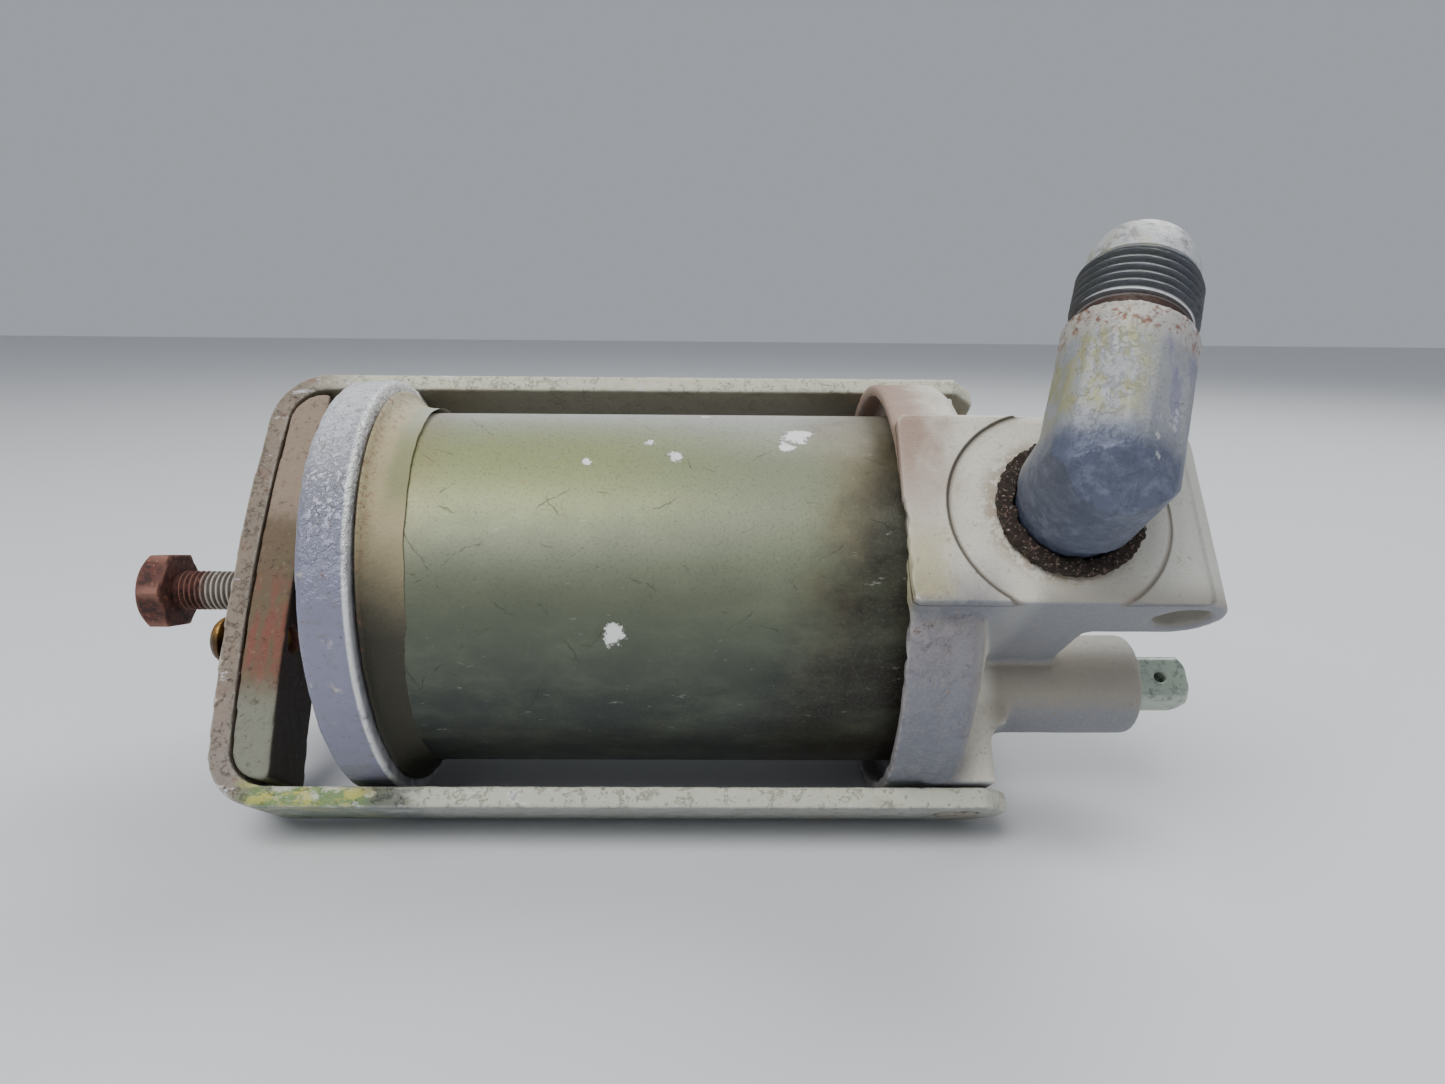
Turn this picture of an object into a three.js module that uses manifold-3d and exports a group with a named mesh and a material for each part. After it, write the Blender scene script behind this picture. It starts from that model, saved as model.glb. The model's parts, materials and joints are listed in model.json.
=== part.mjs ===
// Bowl strainer for a fluid or air line: a tubular bowl held between a cast head and a base cap
// by a swinging strap bail with a clamp screw. Millimetres, +Z up.
//
// The strainer is drawn in its own lying frame (X along the bowl towards the head, Z in the plane
// of the bail, Y to the rear) and then leant back about X onto the bench it lies on. The origin is
// the centre of the finished object's footprint.
import * as THREE from "three";
import { mergeVertices } from "three/addons/utils/BufferGeometryUtils.js";
import Module from "manifold-3d";

const wasm = await Module();
wasm.setup();

// ---- driving dimensions ----
const GAP = 0.3; // clearance between neighbouring pieces that touch
const wide = 56; // sides of the large turned surfaces
const inch = 25.4;

const bowlRadius = (2.75 * inch) / 2;
const bowlWall = 1.6;
const bowlLeft = -98.9;

const rimRadius = (3.25 * inch) / 2; // base cap rim and head skirt
const capThickness = 8.8;
const capInnerX = -101.3;
const capTilt = THREE.MathUtils.degToRad(3.4); // the cap sits cocked while the screw is backed off

const strapThickness = 4;
const strapWidth = 16.5;
const armInner = rimRadius + 0.35; // half the gap between the two arms
const armOuter = armInner + strapThickness;
const strapLeft = -135.7; // outer face of the end, where the screw goes through it
// The end is bowed outwards by the screw: X of its outer face at the two bends, and the curve's pull.
const strapEnd = { upper: -135.3, lower: -133.2, pull: -137.2 };
const bendRadius = 11.5;
const armTip = { upper: 16.2, lower: 13.4 };
const pivotX = 4.6;
const pinRadius = 3.95;

const barThickness = 7.9;
const barHalf = 40.7; // half of the bar's length
const barLeft = strapLeft + strapThickness + GAP;
const barRight = barLeft + barThickness;

const rivet = { y: -3.8, z: -13.2, head: 4.7, dome: 3, shank: 2.4, seat: -135.7 };

const screwZ = -1.5;
const screwRadius = (0.3125 * inch) / 2;
const screwHeadFlats = 14.3;
const screwHeadTurn = THREE.MathUtils.degToRad(-6.6);
const screwHeadLeft = -155;
const screwHeadRight = -149.6;
const padRadius = 8;
const padThickness = 3.6;
const padLeft = barRight + 2 * GAP;

const skirtLeft = -9.8;
const skirtRight = 1.5;
const glandX = 0; // face that the bowl gasket seals against

const blockRight = 24;
const blockFront = -41.8;
const blockRear = 24;
const blockBottom = -18.3;
const blockTop = 16.2;
const inlet = { x: 16, z: -1.85 };
const spotRadius = 18.6;
const spotFront = -41.2;

const earFront = -40.4;
const earRear = -25.9;
const earTop = 14;
const earHoleX = 36.9;
const earHoleRadius = 4.35;

const outlet = { x: 14, z: 0 };
const outletRear = 38;
const outletRadius = 14;

const valve = { z: -20.3, radius: 9.65, right: 40.3 };
const chamberLeft = 11.5;
const chamberRight = 30.2;
const plugFlats = 8.9;
const plugRight = 51.3;
const plugTurn = THREE.MathUtils.degToRad(-3);

const elbowBase = { x: 17.5, z: inlet.z };
const elbowReach = 16.6; // from the spotface to the corner of the elbow
const elbowNeck = 9.2;
const elbowRadius = { in: 10.3, up: 10.4 };
const elbowHeel = 9.6; // from the corner to the flat on the heel
const elbowThread = 9.9; // a little over the nominal 3/4 in
const elbowClock = THREE.MathUtils.degToRad(17.8); // lean of the upright leg towards +X

// ---- shapes ----

// A closed geometry as a manifold solid, with its faces turned outwards.
function solid(geometry) {
  const bare = geometry.index ? geometry.toNonIndexed() : geometry;
  const positions = new THREE.BufferGeometry();
  positions.setAttribute("position", bare.getAttribute("position"));
  const merged = mergeVertices(positions, 1e-4);
  const points = merged.attributes.position.array;
  const triangles = new Uint32Array(merged.index.array);
  let volume = 0;
  const [a, b, c] = [new THREE.Vector3(), new THREE.Vector3(), new THREE.Vector3()];
  for (let i = 0; i < triangles.length; i += 3) {
    a.fromArray(points, triangles[i] * 3);
    b.fromArray(points, triangles[i + 1] * 3);
    c.fromArray(points, triangles[i + 2] * 3);
    volume += a.dot(b.cross(c));
  }
  if (volume < 0) {
    for (let i = 0; i < triangles.length; i += 3) {
      [triangles[i + 1], triangles[i + 2]] = [triangles[i + 2], triangles[i + 1]];
    }
  }
  return new wasm.Manifold(
    new wasm.Mesh({ numProp: 3, vertProperties: points, triVerts: triangles }),
  );
}

// A body turned about an axis ("x", "y" or "z") through `at`. The profile lists [along, radius]
// points; it starts and ends on the axis, or closes on itself when it is a ring.
function turned(profile, { axis = "x", at = [0, 0, 0], sides = 36 } = {}) {
  const points = profile.map(([along, radius]) => new THREE.Vector2(radius, along));
  const onAxis = profile[0][1] === 0 && profile[profile.length - 1][1] === 0;
  if (!onAxis) points.push(points[0].clone());
  const geometry = new THREE.LatheGeometry(points, sides);
  if (axis === "x") geometry.rotateZ(-Math.PI / 2);
  if (axis === "z") geometry.rotateX(Math.PI / 2);
  geometry.translate(...at);
  return solid(geometry);
}

function rod(from, to, radius, options) {
  return turned(
    [
      [from, 0],
      [from, radius],
      [to, radius],
      [to, 0],
    ],
    options,
  );
}

function ring(from, to, inner, outer, options) {
  return turned(
    [
      [from, inner],
      [from, outer],
      [to, outer],
      [to, inner],
    ],
    options,
  );
}

// A plane outline pushed along an axis: along "y" the outline is drawn in (x, z), along "z" in
// (x, y), and along "x" in (y, z).
function pushed(shape, axis, from, to) {
  const geometry = new THREE.ExtrudeGeometry(shape, {
    depth: to - from,
    bevelEnabled: false,
    curveSegments: 8,
  });
  geometry.translate(0, 0, from);
  const place = {
    x: new THREE.Matrix4().set(0, 0, 1, 0, 1, 0, 0, 0, 0, 1, 0, 0, 0, 0, 0, 1),
    y: new THREE.Matrix4().set(1, 0, 0, 0, 0, 0, 1, 0, 0, 1, 0, 0, 0, 0, 0, 1),
    z: new THREE.Matrix4(),
  }[axis];
  return solid(geometry.applyMatrix4(place));
}

function polygon(points) {
  return new THREE.Shape(points.map(([u, v]) => new THREE.Vector2(u, v)));
}

function roundedBox(left, right, bottom, top, radius) {
  const shape = new THREE.Shape();
  shape.absarc(right - radius, top - radius, radius, 0, Math.PI / 2);
  shape.absarc(left + radius, top - radius, radius, Math.PI / 2, Math.PI);
  shape.absarc(left + radius, bottom + radius, radius, Math.PI, 1.5 * Math.PI);
  shape.absarc(right - radius, bottom + radius, radius, 1.5 * Math.PI, 2 * Math.PI);
  return shape;
}

function regular(sides, flats, turn) {
  const corner = flats / 2 / Math.cos(Math.PI / sides);
  return polygon(
    Array.from({ length: sides }, (_, i) => {
      const angle = turn + ((i + 0.5) * 2 * Math.PI) / sides;
      return [corner * Math.cos(angle), corner * Math.sin(angle)];
    }),
  );
}

// A round-wire compression spring about the X axis through (0, 0, z).
function coil({ left, right, mean, wire, turns, z }) {
  const path = new THREE.Curve();
  path.getPoint = (t) => {
    const angle = 2 * Math.PI * turns * t;
    const along = left + wire + (right - left - 2 * wire) * t;
    return new THREE.Vector3(along, mean * Math.cos(angle), z + mean * Math.sin(angle));
  };
  const section = new THREE.Shape();
  section.absarc(0, 0, wire, 0, 2 * Math.PI);
  return solid(
    new THREE.ExtrudeGeometry(section, {
      steps: turns * 12,
      curveSegments: 3,
      extrudePath: path,
    }),
  );
}

const bore = (from, to, radius, options) => rod(from, to, radius, { sides: 28, ...options });
const join = (...solids) => solids.reduce((whole, piece) => whole.add(piece));
const cut = (body, ...tools) => tools.reduce((rest, tool) => rest.subtract(tool), body);

// ---- materials ----
const finish = (color, roughness, metalness) =>
  new THREE.MeshStandardMaterial({ color, roughness, metalness });
const creamPaint = finish(0xd8d5c4, 0.6, 0.1);
const greenAnodise = finish(0x77836a, 0.55, 0.3);
const silverPaint = finish(0xb9bcc4, 0.5, 0.5);
const sandySealant = finish(0x9c8a68, 0.9, 0);
const strapPaint = finish(0xb4b8a8, 0.6, 0.2);
const barPatina = finish(0x9a8672, 0.7, 0.2);
const rustySteel = finish(0x6b4238, 0.8, 0.4);
const pinSteel = finish(0x8d8578, 0.5, 0.7);
const brass = finish(0xb0894a, 0.4, 0.9);
const bareAluminium = finish(0xa3a7a6, 0.5, 0.7);
const crust = finish(0x3b322b, 1, 0);
const plugAluminium = finish(0xa9b3a5, 0.5, 0.6);
const nitrile = finish(0x1d1d1d, 0.8, 0);
const screenSteel = finish(0x9aa0a3, 0.4, 0.9);

// ---- nodes ----
const root = new THREE.Group();
const capGroup = new THREE.Group(); // its X axis is the axis of the cocked base cap
capGroup.rotation.y = -capTilt;
capGroup.position.set(capInnerX, 0, (Math.sin(capTilt) * capThickness) / 2);

function node(name, body, material, group = root) {
  const { vertProperties, triVerts } = body.getMesh();
  const geometry = new THREE.BufferGeometry();
  geometry.setAttribute("position", new THREE.BufferAttribute(vertProperties, 3));
  geometry.setIndex(new THREE.BufferAttribute(triVerts, 1));
  geometry.computeVertexNormals();
  const mesh = new THREE.Mesh(geometry, material);
  mesh.name = name;
  group.add(mesh);
}

function headCasting() {
  const skirt = turned(
    [
      [skirtLeft, 0],
      [skirtLeft, rimRadius],
      [skirtRight, rimRadius],
      [skirtRight + 2, rimRadius - 1.6],
      [skirtRight + 4, 34],
      [skirtRight + 7.5, 25],
      [skirtRight + 8.5, 0],
    ],
    { sides: wide },
  );
  const block = pushed(
    roundedBox(skirtLeft, blockRight, blockBottom, blockTop, 1.2),
    "y",
    blockFront,
    blockRear,
  );
  // The round boss runs off the top and bottom edges of the block and stands proud of the ear.
  const boss = rod(spotFront, earRear, spotRadius, {
    axis: "y",
    at: [inlet.x, 0, inlet.z],
    sides: wide,
  }).intersect(
    pushed(roundedBox(skirtLeft, 50, blockBottom, blockTop, 1.2), "y", blockFront, earRear),
  );
  const spotface = bore(blockFront - 1, spotFront, spotRadius, {
    axis: "y",
    at: [inlet.x, 0, inlet.z],
    sides: wide,
  });

  const earRadius = (earRear - earFront) / 2;
  const earMiddle = (earRear + earFront) / 2;
  const earPlan = new THREE.Shape();
  earPlan.moveTo(blockRight - 4, earFront);
  earPlan.lineTo(earHoleX, earFront);
  earPlan.absarc(earHoleX, earMiddle, earRadius, -Math.PI / 2, Math.PI / 2);
  earPlan.lineTo(blockRight - 4, earRear);
  const ear = pushed(earPlan, "z", blockBottom, earTop);
  const earHole = bore(blockBottom - 1, earTop + 1, earHoleRadius, {
    axis: "z",
    at: [earHoleX, earMiddle, 0],
  });

  const valveBoss = turned(
    [
      [skirtRight, 0],
      [skirtRight, valve.radius],
      [valve.right - 0.7, valve.radius],
      [valve.right, valve.radius - 0.7],
      [valve.right, 0],
    ],
    { at: [0, 0, valve.z] },
  );
  const outletBoss = turned(
    [
      [outlet.x, 0],
      [outlet.x, outletRadius],
      [outletRear - 1, outletRadius],
      [outletRear, outletRadius - 1],
      [outletRear, 0],
    ],
    { axis: "y", at: [outlet.x, 0, outlet.z] },
  );

  // Lugs that carry the pivot pins, blended into the block above and the valve boss below.
  const lugRight = 10.6;
  const lugHalf = 8;
  const fillet = 3.5;
  const lug = (sign, rootZ) =>
    pushed(
      polygon([
        [-2, sign * (rimRadius - 0.1)],
        [lugRight, sign * (rimRadius - 0.1)],
        [lugRight, sign * (rootZ + fillet)],
        [lugRight + 0.3 * fillet, sign * (rootZ + 0.3 * fillet)],
        [lugRight + fillet, sign * rootZ],
        [lugRight + fillet, sign * (rootZ - 6)],
        [-2, sign * (rootZ - 6)],
      ]),
      "y",
      -lugHalf,
      lugHalf,
    );
  const upperLug = lug(1, blockTop);
  const lowerLug = lug(-1, -(valve.z - valve.radius));
  const pinHole = (sign) =>
    bore(sign * 30, sign * 50, pinRadius + 0.15, { axis: "z", at: [pivotX, 0, 0] });

  // The bowl's seat, wider at the mouth, and the shallow gallery behind it.
  const seat = turned(
    [
      [skirtLeft - 1, 0],
      [skirtLeft - 1, rimRadius - 2.3],
      [skirtLeft + 5, rimRadius - 2.3],
      [skirtLeft + 6, bowlRadius + 0.4],
      [glandX, bowlRadius + 0.4],
      [glandX, bowlRadius - 5.4],
      [glandX + 3, bowlRadius - 5.4],
      [glandX + 3, 0],
    ],
    { sides: wide },
  );

  const drillings = [
    // inlet: thread from the front, then a drilling back into the gallery
    bore(blockFront - 1, -29, 9, { axis: "y", at: [elbowBase.x, 0, elbowBase.z] }),
    bore(-30, -20.5, 5, { axis: "y", at: [elbowBase.x, 0, elbowBase.z] }),
    bore(glandX, elbowBase.x, 5, { at: [0, -25.5, inlet.z] }),
    // standpipe seat and outlet: along the axis, then out of the rear port
    bore(glandX, 6.5, 7.3),
    bore(glandX, outlet.x, 5.5),
    bore(0, outletRear, 5.5, { axis: "y", at: [outlet.x, 0, outlet.z] }),
    bore(outletRear - 14, outletRear + 1, 8.7, { axis: "y", at: [outlet.x, 0, outlet.z] }),
    // relief valve: port from the gallery, spring chamber, plug thread and the way to the outlet
    bore(glandX, chamberLeft + 1, 3.1, { at: [0, 0, valve.z] }),
    bore(chamberLeft, chamberRight + 1, 5.7, { at: [0, 0, valve.z] }),
    bore(chamberRight, valve.right + 1, 6.9, { at: [0, 0, valve.z] }),
    bore(valve.z, 0, 2.4, { axis: "z", at: [17.5, 0, 0] }),
  ];
  const whole = join(skirt, block, boss, ear, valveBoss, outletBoss, upperLug, lowerLug);
  return cut(whole, spotface, earHole, seat, pinHole(1), pinHole(-1), ...drillings);
}

function inletElbow() {
  const corner = spotFront - elbowReach;
  const collar = 19.1;
  const groove = 22.5;
  const threadStart = 24.8;
  const threadEnd = 34.6;
  const noseEnd = 42.4;
  const passage = 5.4;
  const legIn = rod(corner - 12, spotFront - 5, elbowRadius.in, { axis: "y" });
  const legUp = turned(
    [
      [-12, 0],
      [-12, elbowRadius.up],
      [collar, elbowRadius.up],
      [collar, elbowRadius.up + 0.15],
      [groove, elbowRadius.up + 0.15],
      [groove, elbowThread - 1],
      [threadStart, elbowThread - 1],
      [threadStart + 0.6, elbowThread],
      [threadEnd - 0.8, elbowThread],
      [threadEnd, elbowThread - 0.8],
      [noseEnd - 4, elbowThread - 1.1],
      [noseEnd - 0.4, passage + 1.8],
      [noseEnd, passage + 1.4],
      [noseEnd, 0],
    ],
    { axis: "z", at: [0, corner, 0] },
  );
  // The legs meet at a mitre, and the heel is planed off square to it.
  const overlap = 0.05;
  const half = Math.SQRT1_2;
  const mitred = join(
    legIn.trimByPlane([0, half, -half], half * corner - overlap),
    legUp.trimByPlane([0, -half, half], -half * corner - overlap),
  ).trimByPlane([0, half, half], half * corner - elbowHeel);
  const body = join(
    mitred,
    rod(spotFront - 6, spotFront - 0.5, elbowNeck, { axis: "y" }),
    rod(-30.5, spotFront - 1, 8.6, { axis: "y" }),
  );
  const passages = [
    bore(corner, -30, passage, { axis: "y" }),
    bore(0, noseEnd + 1, passage, { axis: "z", at: [0, corner, 0] }),
    solid(new THREE.SphereGeometry(passage, 16, 10).translate(0, corner, 0)),
  ];
  const degrees = THREE.MathUtils.radToDeg(elbowClock);
  return cut(body, ...passages)
    .rotate([0, degrees, 0])
    .translate([elbowBase.x, 0, elbowBase.z]);
}

function bailStrap() {
  const outline = new THREE.Shape();
  const bendZ = armOuter - bendRadius;
  const inside = bendRadius - strapThickness;
  const upperX = strapEnd.upper + bendRadius;
  const lowerX = strapEnd.lower + bendRadius;
  outline.moveTo(armTip.upper, armOuter);
  outline.lineTo(upperX, armOuter);
  outline.absarc(upperX, bendZ, bendRadius, Math.PI / 2, Math.PI);
  outline.quadraticCurveTo(strapEnd.pull, 0, strapEnd.lower, -bendZ);
  outline.absarc(lowerX, -bendZ, bendRadius, Math.PI, 1.5 * Math.PI);
  outline.lineTo(armTip.lower, -armOuter);
  outline.lineTo(armTip.lower, -armInner);
  outline.absarc(lowerX, -bendZ, inside, 1.5 * Math.PI, Math.PI, true);
  outline.quadraticCurveTo(
    strapEnd.pull + strapThickness,
    0,
    strapEnd.upper + strapThickness,
    bendZ,
  );
  outline.absarc(upperX, bendZ, inside, Math.PI, Math.PI / 2, true);
  outline.lineTo(armTip.upper, armInner);
  const strap = pushed(outline, "y", -strapWidth / 2, strapWidth / 2);

  // Each arm's end is clipped to a blunt point.
  const clip = 5;
  const half = strapWidth / 2;
  const clipped = (tip, bottom, top) =>
    [-1, 1].map((side) =>
      pushed(
        polygon([
          [tip - clip, side * half],
          [tip, side * (half - clip)],
          [tip + 1, side * (half - clip)],
          [tip + 1, side * (half + 1)],
          [tip - clip, side * (half + 1)],
        ]),
        "z",
        bottom,
        top,
      ),
    );
  const holes = [
    bore(-50, 50, pinRadius + 0.15, { axis: "z", at: [pivotX, 0, 0] }),
    bore(strapLeft - 1, barRight, screwRadius + 0.25, { at: [0, 0, screwZ] }),
    bore(strapLeft - 1, barRight, rivet.shank + GAP, { at: [0, rivet.y, rivet.z] }),
  ];
  return cut(
    strap,
    ...holes,
    ...clipped(armTip.upper, armInner - 1, armOuter + 1),
    ...clipped(armTip.lower, -armOuter - 1, -armInner + 1),
  );
}

function barRivet() {
  const arc = 5;
  const dome = Array.from({ length: arc + 1 }, (_, i) => {
    const angle = (i / arc) * (Math.PI / 2);
    const along = rivet.seat - rivet.dome * Math.cos(angle);
    return [along, i === 0 ? 0 : rivet.head * Math.sin(angle)];
  });
  return turned(
    [...dome, [rivet.seat, rivet.shank], [barRight - 1, rivet.shank], [barRight - 1, 0]],
    { at: [0, rivet.y, rivet.z], sides: 24 },
  );
}

// The bar lies against the inside of the strap's end and is bowed with it.
function threadBar() {
  const offset = strapThickness + GAP;
  const upper = strapEnd.upper + offset;
  const lower = strapEnd.lower + offset;
  const pull = strapEnd.pull + offset;
  const outer = 6.4; // radius of the corners that lie in the strap's bends
  const inner = 1.4;
  const right = barThickness - inner;
  const outline = new THREE.Shape();
  outline.moveTo(upper, barHalf - outer);
  outline.quadraticCurveTo(pull, 0, lower, outer - barHalf);
  outline.absarc(lower + outer, outer - barHalf, outer, Math.PI, 1.5 * Math.PI);
  outline.absarc(lower + right, inner - barHalf, inner, 1.5 * Math.PI, 2 * Math.PI);
  outline.quadraticCurveTo(pull + barThickness, 0, upper + barThickness, barHalf - inner);
  outline.absarc(upper + right, barHalf - inner, inner, 0, Math.PI / 2);
  outline.absarc(upper + outer, barHalf - outer, outer, Math.PI / 2, Math.PI);
  const bar = pushed(outline, "y", -strapWidth / 2, strapWidth / 2);
  return cut(
    bar,
    bore(barLeft - 1, barRight + 2, screwRadius + 0.2, { at: [0, 0, screwZ] }),
    bore(barLeft - 1, barRight + 2, rivet.shank + GAP, { at: [0, rivet.y, rivet.z] }),
  );
}

function clampScrew() {
  const tip = padLeft + padThickness - 2;
  const head = pushed(
    regular(6, screwHeadFlats, screwHeadTurn),
    "x",
    screwHeadLeft,
    screwHeadRight,
  ).intersect(
    turned([
      [screwHeadLeft, 0],
      [screwHeadLeft, screwHeadFlats / 2],
      [screwHeadLeft + 1, screwHeadFlats / 2 + 1.2],
      [screwHeadRight, screwHeadFlats / 2 + 1.2],
      [screwHeadRight, 0],
    ]),
  );
  return head
    .add(rod(screwHeadRight - 1, tip, screwRadius, { sides: 28 }))
    .translate([0, 0, screwZ]);
}

function bypassPlug() {
  const middle = valve.right + 5.6;
  const square = pushed(
    regular(4, plugFlats, plugTurn),
    "x",
    valve.right - 0.5,
    plugRight,
  ).intersect(
    turned([
      [valve.right - 1, 0],
      [valve.right - 1, plugFlats * 0.64],
      [plugRight - 1.2, plugFlats * 0.64],
      [plugRight, plugFlats * 0.52],
      [plugRight, 0],
    ]),
  );
  const thread = rod(chamberRight + GAP, valve.right - 0.2, 6.6);
  const lockwireHole = rod(-12, 12, 1.1, { axis: "y", at: [middle, 0, 0], sides: 16 });
  const turnedHole = lockwireHole.rotate([THREE.MathUtils.radToDeg(plugTurn), 0, 0]);
  return cut(square.add(thread), turnedHole).translate([0, 0, valve.z]);
}

function baseCap() {
  const back = -capThickness;
  return turned(
    [
      [back - 1, 0],
      [back - 1, 7],
      [back, 8],
      [back, rimRadius - 1],
      [back + 1, rimRadius],
      [-0.5, rimRadius],
      [0, rimRadius - 0.5],
      [0, 28.5],
      [3.5, 28.5],
      [3.5, 0],
    ],
    { sides: wide },
  );
}

function bowlFootRing() {
  const reach = 6.4;
  const inner = bowlRadius + 0.85;
  const outer = 39;
  const steps = 4;
  // a hollow cove from the rim of the foot down to the bowl's side
  const cove = Array.from({ length: steps + 1 }, (_, i) => {
    const angle = (i / steps) * (Math.PI / 2);
    const along = GAP + reach * (1 - Math.cos(angle)) + 0.6;
    return [along, outer - (outer - inner - 0.5) * Math.sin(angle)];
  });
  return turned([[GAP, inner], [GAP, outer], ...cove, [GAP + reach + 0.6, inner]], { sides: wide });
}

// head and what is fixed in it
node("head_casting", headCasting(), creamPaint);
node("standpipe", ring(-27, 6.2, 5.2, 7, { sides: 28 }), bareAluminium);
node("inlet_elbow", inletElbow(), bareAluminium);
node(
  "elbow_sealant",
  ring(spotFront - 2, spotFront - GAP, elbowNeck + GAP, 12.2, {
    axis: "y",
    at: [elbowBase.x, 0, elbowBase.z],
  }),
  crust,
);
for (const [name, sign] of [
  ["upper_pivot_pin", 1],
  ["lower_pivot_pin", -1],
]) {
  const pin = rod(sign * 30.5, sign * (armOuter + 0.2), pinRadius, {
    axis: "z",
    at: [pivotX, 0, 0],
    sides: 28,
  });
  node(name, pin, pinSteel);
}

// relief valve in the lower boss
const onValveAxis = { at: [0, 0, valve.z], sides: 28 };
node("bypass_seat", ring(12.5 + GAP, 14, 3.1, 5.4, onValveAxis), brass);
const poppet = turned(
  [
    [14 + GAP, 0],
    [14 + GAP, 3.6],
    [15.3, 4.6],
    [16.8, 4.6],
    [16.8, 1.6],
    [24, 1.6],
    [24, 0],
  ],
  onValveAxis,
);
node("bypass_poppet", poppet, brass);
node(
  "bypass_spring",
  coil({ left: 17.1, right: chamberRight, mean: 3.6, wire: 0.6, turns: 5, z: valve.z }),
  screenSteel,
);
node("bypass_plug", bypassPlug(), plugAluminium);

// bowl stack
node(
  "bowl_tube",
  ring(bowlLeft, glandX - 1.8, bowlRadius - bowlWall, bowlRadius, { sides: wide }),
  greenAnodise,
);
node("bowl_gasket", ring(glandX - 1.5, glandX - GAP, 31, bowlRadius, { sides: wide }), nitrile);
node("base_cap", baseCap(), silverPaint, capGroup);
node("base_gasket", ring(GAP, 2.3, 28.9, 32.4), nitrile, capGroup);
node("bowl_foot_ring", bowlFootRing(), sandySealant, capGroup);

// strainer element
node("element_top_cap", ring(-21, -17.7, 8.8, 27.5), bareAluminium);
node("element_seal", ring(-20.4, -18.4, 7.3, 8.5, { sides: 28 }), nitrile);
node("element_screen", ring(-87.1, -21.3, 26, 27.2), screenSteel);
node("element_bottom_cap", rod(-90.4, -87.4, 27.5), bareAluminium);
node(
  "element_spring",
  coil({ left: -96.6, right: -90.7, mean: 9, wire: 0.8, turns: 3, z: 0 }),
  screenSteel,
);

// bail and clamp screw
node("bail_strap", bailStrap(), strapPaint);
node("thread_bar", threadBar(), barPatina);
node("bar_rivet", barRivet(), brass);
const pad = cut(
  rod(padLeft, padLeft + padThickness, padRadius),
  bore(padLeft - 1, padLeft + padThickness - 1.7, screwRadius + 0.3),
);
node("thrust_pad", pad.translate([0, 0, screwZ]), rustySteel);
node("clamp_screw", clampScrew(), rustySteel);
root.add(capGroup);

// ---- stance ----
// The strainer leans back until it rests on the rear edge of the lower arm and on the rims of the
// base cap and the head skirt, all of which touch a plane at rimRadius from the bowl's axis.
const edge = new THREE.Vector2(strapWidth / 2, armOuter);
const lean = Math.acos(rimRadius / edge.length()) + Math.atan2(edge.x, edge.y);
const group = new THREE.Group();
group.name = "bowl_strainer";
group.add(root);
root.rotation.x = -lean;
root.position.z = rimRadius;
group.updateMatrixWorld(true);
const footprint = new THREE.Box3().setFromObject(group, true);
const middle = footprint.getCenter(new THREE.Vector3());
root.position.set(-middle.x, -middle.y, rimRadius - footprint.min.z);

export default group;
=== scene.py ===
"""A worn bowl strainer, lying on a pale floor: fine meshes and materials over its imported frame.

Pieces are shaped in the strainer's own lying millimetres (X along the bowl towards the head, Z in
the plane of the bail, Y to the rear) and then carried into the row frame.
"""
import json
import math

import bpy
from mathutils import Matrix, Vector, noise

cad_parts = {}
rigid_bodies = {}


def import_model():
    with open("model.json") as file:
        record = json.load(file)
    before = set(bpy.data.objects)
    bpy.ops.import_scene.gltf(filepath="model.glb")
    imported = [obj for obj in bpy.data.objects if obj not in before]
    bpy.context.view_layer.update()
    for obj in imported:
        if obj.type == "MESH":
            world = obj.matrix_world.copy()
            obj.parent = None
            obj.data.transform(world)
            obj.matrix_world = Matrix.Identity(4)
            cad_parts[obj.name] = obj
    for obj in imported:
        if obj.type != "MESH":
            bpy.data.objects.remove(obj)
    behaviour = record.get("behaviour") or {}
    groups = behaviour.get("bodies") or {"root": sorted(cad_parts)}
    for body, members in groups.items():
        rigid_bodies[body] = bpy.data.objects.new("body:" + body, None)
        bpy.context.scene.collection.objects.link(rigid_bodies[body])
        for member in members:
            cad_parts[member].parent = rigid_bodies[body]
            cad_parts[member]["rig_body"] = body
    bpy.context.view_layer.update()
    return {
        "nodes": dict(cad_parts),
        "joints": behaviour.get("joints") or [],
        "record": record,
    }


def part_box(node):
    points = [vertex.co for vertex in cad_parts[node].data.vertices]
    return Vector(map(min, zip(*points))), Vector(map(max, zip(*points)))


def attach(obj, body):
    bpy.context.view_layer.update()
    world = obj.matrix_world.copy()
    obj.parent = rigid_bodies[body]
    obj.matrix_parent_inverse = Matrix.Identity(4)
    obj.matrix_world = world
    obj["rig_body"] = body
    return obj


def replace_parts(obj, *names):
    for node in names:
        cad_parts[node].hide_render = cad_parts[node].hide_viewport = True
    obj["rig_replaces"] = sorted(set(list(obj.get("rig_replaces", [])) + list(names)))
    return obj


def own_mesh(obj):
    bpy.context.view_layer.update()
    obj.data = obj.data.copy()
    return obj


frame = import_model()

MM = 0.001
FLOOR_SIDE = 6
PIVOT_X = 4.6
SCREW_Z = -1.5
SCREW_PITCH = 25.4 / 24
SCREW_RADIUS = 25.4 * 0.3125 / 2
ELBOW_CORNER = Vector((17.5, -57.8, -1.85))
ELBOW_LEAN = math.radians(17.8)
ELBOW_PASSAGE = 5.4
FLARE_RADIUS = 9.9
FLARE_PITCH = 25.4 / 16
SPOTFACE = {"x": 16, "z": -1.85, "radius": 18.6}
CAP_TILT = math.radians(3.4)
CAP_X = -101.3
BOWL_RADIUS = 69.85 / 2
BOWL_WALL = 1.6
SCREW_HEAD_RIGHT = -149.6
SCREW_HEAD_FLATS = 14.3

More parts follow.
